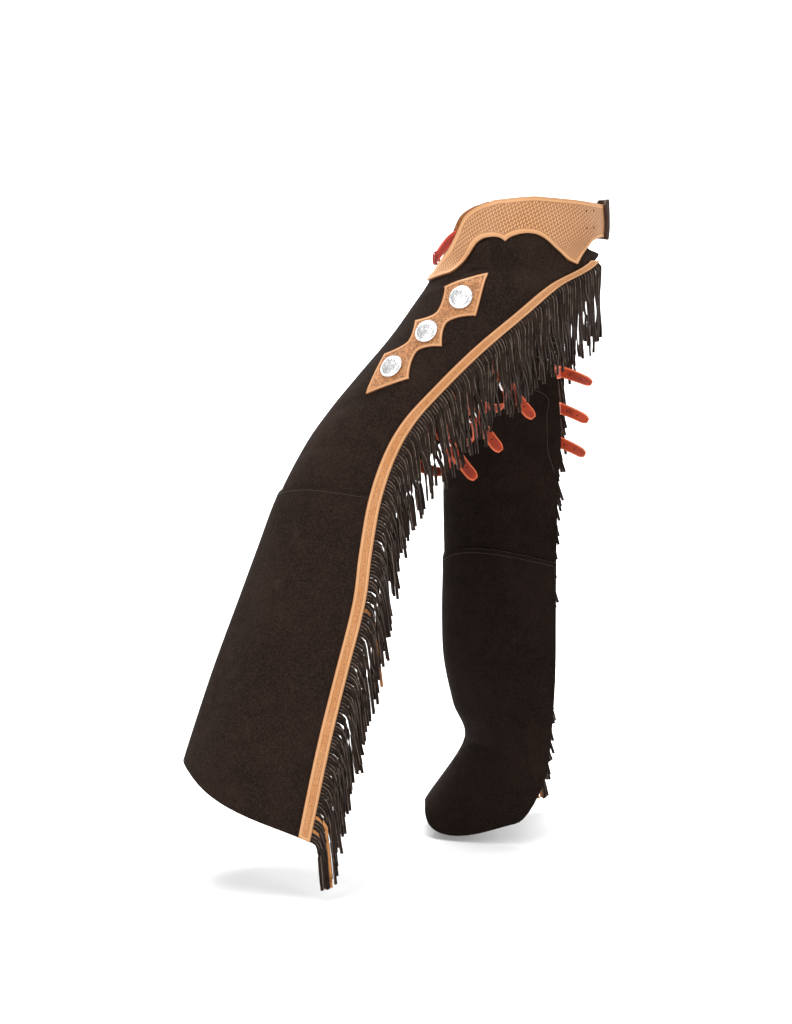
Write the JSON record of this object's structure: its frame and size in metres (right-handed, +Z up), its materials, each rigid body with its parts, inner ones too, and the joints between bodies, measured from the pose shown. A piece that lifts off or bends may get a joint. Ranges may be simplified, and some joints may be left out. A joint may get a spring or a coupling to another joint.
{
  "type": "leather riding chaps",
  "caption": "Fringed brown suede riding chaps with tan hip yokes, edge trims and concho panels, shaped as worn by a standing rider with the left leg forward.",
  "frame": {"origin": "middle of the waist, at the level of the yokes' top edge at the sides", "axes": "+Z up along the standing wearer, -Y the wearer's front, +X the wearer's left side"},
  "size_m": [0.6069, 0.6708, 1.0495],
  "materials": {
    "suede": "napped brown suede, matte",
    "tooled_leather": "stamped and carved tan vegetable-tanned leather, satin",
    "latigo": "oiled orange-red latigo, satin",
    "back_leather": "oiled very dark brown leather, satin",
    "concho_metal": "engraved polished silver plate",
    "buckle_metal": "nickel-plated wire"
  },
  "bodies": {
    "root": {"left_leg_upper": "suede", "left_leg_lower": "suede", "right_leg_upper": "suede", "right_leg_lower": "suede", "left_fringe": "suede", "right_fringe": "suede", "left_yoke": "tooled_leather", "right_yoke": "tooled_leather", "left_edge_trim": "tooled_leather", "right_edge_trim": "tooled_leather", "left_diamonds": "tooled_leather", "right_diamonds": "tooled_leather", "left_concho_1": "concho_metal", "left_concho_2": "concho_metal", "left_concho_3": "concho_metal", "right_concho_1": "concho_metal", "right_concho_2": "concho_metal", "right_concho_3": "concho_metal", "left_upper_strap": "latigo", "left_middle_strap": "latigo", "left_lower_strap": "latigo", "right_upper_strap": "latigo", "right_middle_strap": "latigo", "right_lower_strap": "latigo", "left_upper_chape": "latigo", "left_middle_chape": "latigo", "left_lower_chape": "latigo", "right_upper_chape": "latigo", "right_middle_chape": "latigo", "right_lower_chape": "latigo", "left_upper_buckle": "buckle_metal", "left_middle_buckle": "buckle_metal", "left_lower_buckle": "buckle_metal", "right_upper_buckle": "buckle_metal", "right_middle_buckle": "buckle_metal", "right_lower_buckle": "buckle_metal", "back_strap": "back_leather", "front_strap": "latigo"}
  },
  "joints": []
}
